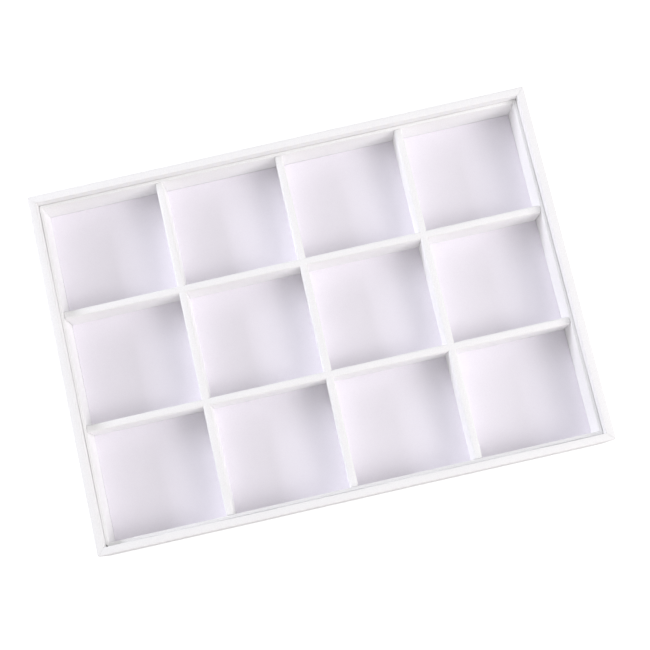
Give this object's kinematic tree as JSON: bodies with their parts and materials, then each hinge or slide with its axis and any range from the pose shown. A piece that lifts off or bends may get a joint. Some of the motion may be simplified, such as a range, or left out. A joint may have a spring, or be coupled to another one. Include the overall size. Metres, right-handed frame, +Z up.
{
  "type": "jewelry display tray",
  "caption": "Shallow rectangular display tray in white leatherette: a mitred frame with a lift-out insert divided into compartments for small jewelry.",
  "frame": {"origin": "on the surface the tray stands on, under the middle of its outline", "axes": "+X along the length, +Y towards the back in the picture, +Z up"},
  "size_m": [0.35, 0.25, 0.035],
  "materials": {
    "white_leatherette": "fine embossed grain, satin",
    "floor_leatherette": "smooth pale lilac, matt",
    "fibreboard": "raw medium-density fibreboard",
    "grey_board": "plain grey board",
    "white_paper": "uncoated",
    "lining_paper": "felt-marked, matt",
    "steel_wire": "bright wire"
  },
  "bodies": {
    "frame": {"bottom_board": "fibreboard", "corner_brads": "steel_wire", "frame_floor_lining": "white_paper", "rail_core_back": "fibreboard", "rail_core_front": "fibreboard", "rail_core_left": "fibreboard", "rail_core_right": "fibreboard", "rail_covering_back": "white_leatherette", "rail_covering_front": "white_leatherette", "rail_covering_left": "white_leatherette", "rail_covering_right": "white_leatherette", "underside_infill": "grey_board", "underside_lining": "lining_paper"},
    "insert": {"compartment_floor_cover": "floor_leatherette", "insert_base_board": "grey_board", "liner_core_back": "grey_board", "liner_core_front": "grey_board", "liner_core_left": "grey_board", "liner_core_right": "grey_board", "liner_covering_back": "white_leatherette", "liner_covering_front": "white_leatherette", "liner_covering_left": "white_leatherette", "liner_covering_right": "white_leatherette", "long_divider_core_1": "fibreboard", "long_divider_core_2": "fibreboard", "long_divider_covering_1": "white_leatherette", "long_divider_covering_2": "white_leatherette", "short_divider_core_1": "fibreboard", "short_divider_core_2": "fibreboard", "short_divider_core_3": "fibreboard", "short_divider_covering_1": "white_leatherette", "short_divider_covering_2": "white_leatherette", "short_divider_covering_3": "white_leatherette"}
  },
  "joints": [
    {"name": "insert_lift", "type": "slide", "parent": "frame", "child": "insert", "axis": [0, 0, 1], "range_m": [0, 0.04]}
  ]
}
